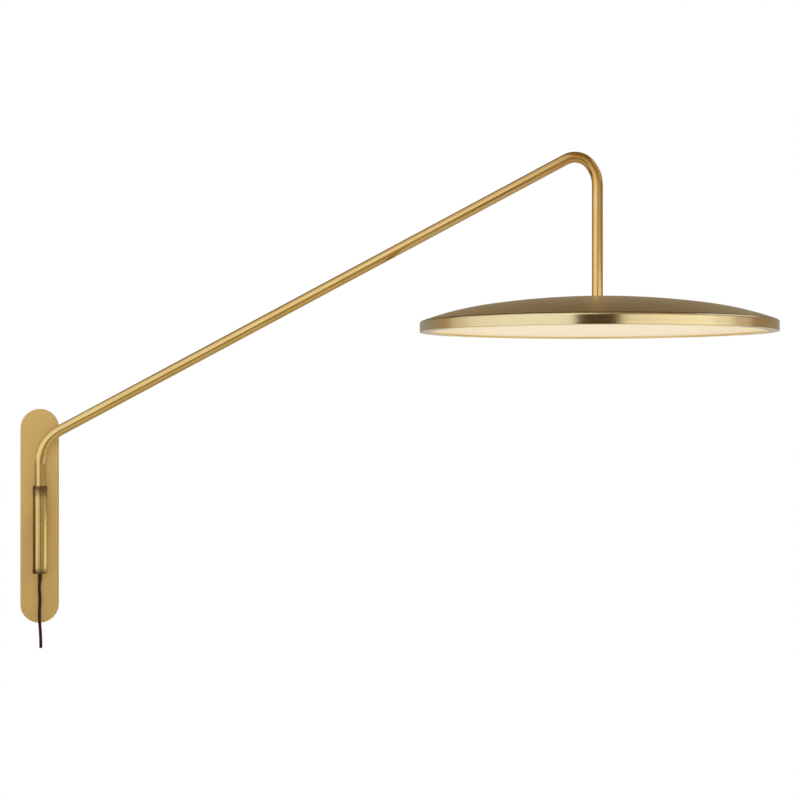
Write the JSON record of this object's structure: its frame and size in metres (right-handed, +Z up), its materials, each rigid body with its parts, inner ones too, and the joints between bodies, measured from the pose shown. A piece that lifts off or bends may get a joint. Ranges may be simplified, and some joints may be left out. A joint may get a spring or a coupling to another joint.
{
  "type": "swing-arm wall lamp",
  "caption": "Swing-arm wall lamp: round-ended wall plate with an upright swivel barrel, a bent brass tube arm and a shallow domed disc shade with a flat lit panel.",
  "frame": {"origin": "middle of the wall plate's back, on the wall", "axes": "+X to the right along the wall, +Y into the wall, so the room is at -Y, and +Z up"},
  "size_m": [0.9517, 0.463, 0.6445],
  "materials": {
    "aged_brass": "satin",
    "shade_brass": "satin",
    "plain_brass": "satin",
    "bush_bronze": "satin",
    "bracket_steel": "satin",
    "fastener_steel": "satin",
    "brass_screws": "satin",
    "white_plastic": "matte",
    "cord_brown": "satin",
    "tray_aluminium": "satin",
    "clear_acrylic": "gloss",
    "opal_acrylic": "satin",
    "strip_white": "matte",
    "chip_yellow": "satin",
    "driver_white": "matte",
    "board_green": "satin",
    "component_black": "satin",
    "wire_red": "satin"
  },
  "bodies": {
    "wall_mount": {"wall_bracket": "bracket_steel", "backplate": "aged_brass", "plate_grub_screws": "fastener_steel", "upper_post": "aged_brass", "lower_post": "aged_brass", "post_screws": "fastener_steel", "post_lock_washers": "fastener_steel", "swivel_barrel": "aged_brass", "upper_bush": "bush_bronze", "lower_bush": "bush_bronze", "end_plug": "plain_brass", "stop_pin": "fastener_steel", "thrust_washer": "white_plastic", "cord_bush": "cord_brown", "cord_tail": "cord_brown", "supply_cord": "cord_brown"},
    "arm": {"arm_tube": "aged_brass", "snap_ring": "fastener_steel", "lead_grommet": "white_plastic", "arm_lead": "cord_brown", "shade_spigot": "plain_brass", "shade_shell": "shade_brass", "shade_hub": "tray_aluminium", "spigot_washer": "fastener_steel", "spigot_nut": "fastener_steel", "tray_pillars": "tray_aluminium", "tray_screws": "fastener_steel", "led_tray": "tray_aluminium", "reflector_sheet": "white_plastic", "light_guide": "clear_acrylic", "led_strip": "strip_white", "led_chips": "chip_yellow", "diffuser": "opal_acrylic", "bezel_ring": "aged_brass", "bezel_screws": "brass_screws", "driver_case": "driver_white", "driver_board": "board_green", "driver_components": "component_black", "driver_cover": "driver_white", "driver_screws": "fastener_steel", "led_leads": "wire_red"}
  },
  "joints": [
    {"name": "arm_swing", "type": "hinge", "parent": "wall_mount", "child": "arm", "pos_m": [0, -0.032, 0], "axis": [0, 0, -1], "range_deg": [0, 147.6]}
  ]
}
